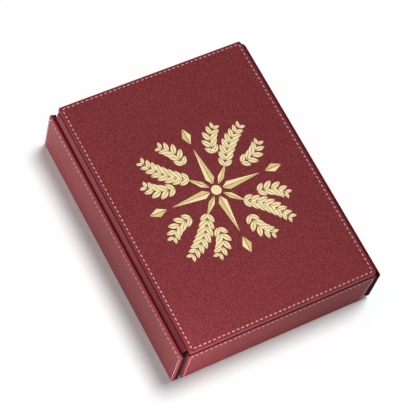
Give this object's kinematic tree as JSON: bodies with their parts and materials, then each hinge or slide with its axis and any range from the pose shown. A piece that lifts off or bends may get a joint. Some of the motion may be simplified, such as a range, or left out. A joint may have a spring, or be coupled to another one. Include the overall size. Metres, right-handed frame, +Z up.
{
  "type": "dice storage chest",
  "caption": "Book-shaped chest for dice: a lid hinged at the spine, a hanging flap, a divided velvet tray and a drawer in the short side.",
  "frame": {"origin": "middle of the underside, where the chest stands", "axes": "+Z up through the lid, +Y along the spine away from the drawer front, +X from the spine to the flap"},
  "size_m": [0.1954, 0.2484, 0.0571],
  "materials": {
    "red_leather": "smooth dark red leatherette, satin",
    "grained_strip": "fine crosswise wrinkled dark red leatherette",
    "grey_board": "pressed grey board",
    "black_board": "board covered in matt black paper",
    "black_velvet": "short black velvet",
    "divider_velvet": "board flocked in black velvet",
    "foam": "soft foam sheet",
    "magnet": "nickel plated disc"
  },
  "bodies": {
    "chest": {"base_cover": "red_leather", "base_board": "grey_board", "shelf": "black_board", "left_wall": "black_board", "right_wall": "black_board", "back_wall": "black_board", "front_rail": "black_board", "wall_magnets": "magnet", "catch_magnets": "magnet", "spine_board": "grey_board", "spine_cover": "red_leather", "back_panel_board": "grey_board", "back_panel_cover": "red_leather", "tray_pad": "foam", "tray_lining": "black_velvet", "dividers_long": "divider_velvet", "dividers_cross": "divider_velvet", "hinge_strip": "grained_strip"},
    "lid": {"lid_board": "grey_board", "lid_cover": "red_leather", "lid_lining": "black_velvet", "fold_strip": "grained_strip"},
    "flap": {"flap_board": "grey_board", "flap_cover": "red_leather", "flap_lining": "black_velvet", "flap_magnets": "magnet"},
    "drawer": {"front_panel_board": "grey_board", "front_panel_cover": "red_leather", "drawer_floor": "black_board", "drawer_left_side": "black_board", "drawer_right_side": "black_board", "drawer_inner_front": "black_board", "drawer_back": "black_board", "drawer_magnets": "magnet", "drawer_lining": "black_velvet", "drawer_divider": "divider_velvet"}
  },
  "joints": [
    {"name": "lid_hinge", "type": "hinge", "parent": "chest", "child": "lid", "pos_m": [-0.0939, 0, 0.0523], "axis": [0, -1, 0], "range_deg": [0, 180], "deforming": ["hinge_strip"]},
    {"name": "flap_hinge", "type": "hinge", "parent": "lid", "child": "flap", "pos_m": [0.0925, 0, 0.0506], "axis": [0, -1, 0], "range_deg": [0, 90], "deforming": ["fold_strip"]},
    {"name": "drawer_slide", "type": "slide", "parent": "chest", "child": "drawer", "axis": [0, -1, 0], "range_m": [0, 0.2]}
  ]
}
